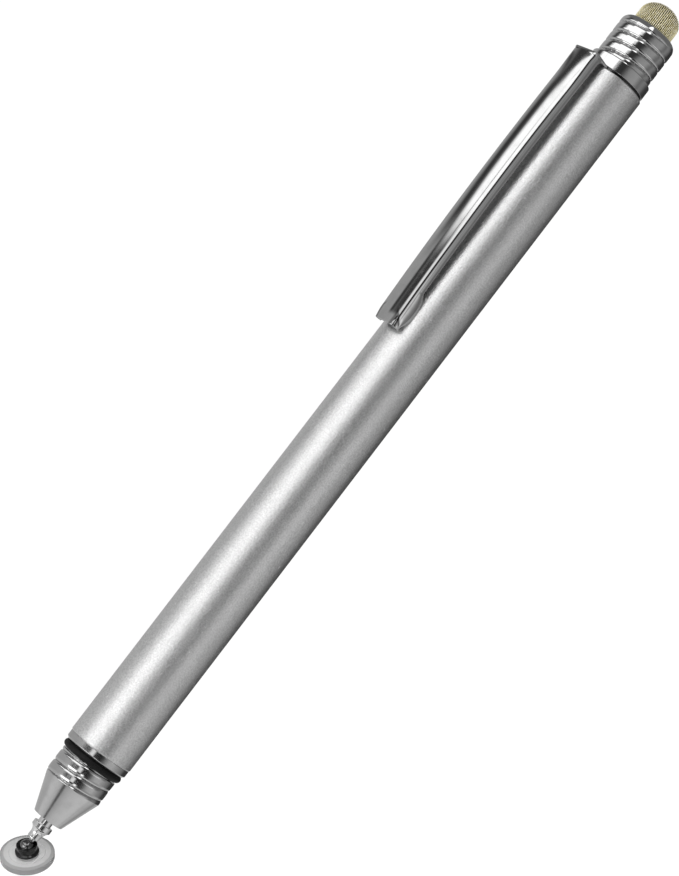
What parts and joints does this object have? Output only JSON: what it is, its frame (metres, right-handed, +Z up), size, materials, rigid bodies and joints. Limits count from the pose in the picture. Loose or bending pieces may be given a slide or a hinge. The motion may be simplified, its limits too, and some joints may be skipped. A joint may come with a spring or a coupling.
{
  "type": "stylus pen",
  "caption": "Slim metal touch-screen stylus: clear swivelling disc on a ball stem at one end, knitted fibre tip at the other, sprung pocket clip and threaded seats for a cap.",
  "frame": {"origin": "on the pen's axis, at the middle of the front cap seat", "axes": "+X along the pen from the disc towards the fibre tip, +Y out through the pocket clip, +Z up with the pen lying down"},
  "size_m": [0.1365, 0.0116, 0.009],
  "materials": {
    "clear_plastic": "clear moulded disc, polished faces",
    "polished_steel": "polished plated steel",
    "satin_chrome": "satin plated nose",
    "bright_chrome": "bright plated collar",
    "satin_aluminium": "fine blasted, clear anodised",
    "turned_brass": "as turned, hidden inside",
    "black_rubber": "matt moulded",
    "fibre_knit": "fine conductive knit, gold and grey"
  },
  "bodies": {
    "barrel": {"barrel": "satin_aluminium", "nose_cone": "satin_chrome", "seal_ring": "black_rubber", "stem_bush": "turned_brass", "front_insert": "turned_brass", "rear_insert": "turned_brass", "clip_root": "polished_steel", "rear_collar": "bright_chrome", "tip_holder": "turned_brass", "tip_core": "black_rubber", "tip_fabric": "fibre_knit", "crimp_ring": "polished_steel"},
    "stem": {"tip_stem": "polished_steel"},
    "disc": {"disc_hub": "polished_steel", "disc": "clear_plastic"},
    "clip": {"clip_blade": "polished_steel"}
  },
  "joints": [
    {"name": "stem_turn", "type": "hinge", "parent": "barrel", "child": "stem", "pos_m": [-0.01094, 0, 0], "axis": [1, 0, 0], "continuous": true},
    {"name": "disc_tilt", "type": "hinge", "parent": "stem", "child": "disc", "pos_m": [-0.01094, 0, 0], "axis": [0, -0.1392, 0.9903], "range_deg": [-99, 1]},
    {"name": "clip_flex", "type": "hinge", "parent": "barrel", "child": "clip", "pos_m": [0.109, 0.0069, 0], "axis": [0, 0, -1], "range_deg": [0, 4.5], "stiffness_Nm_per_rad": 1.2}
  ]
}
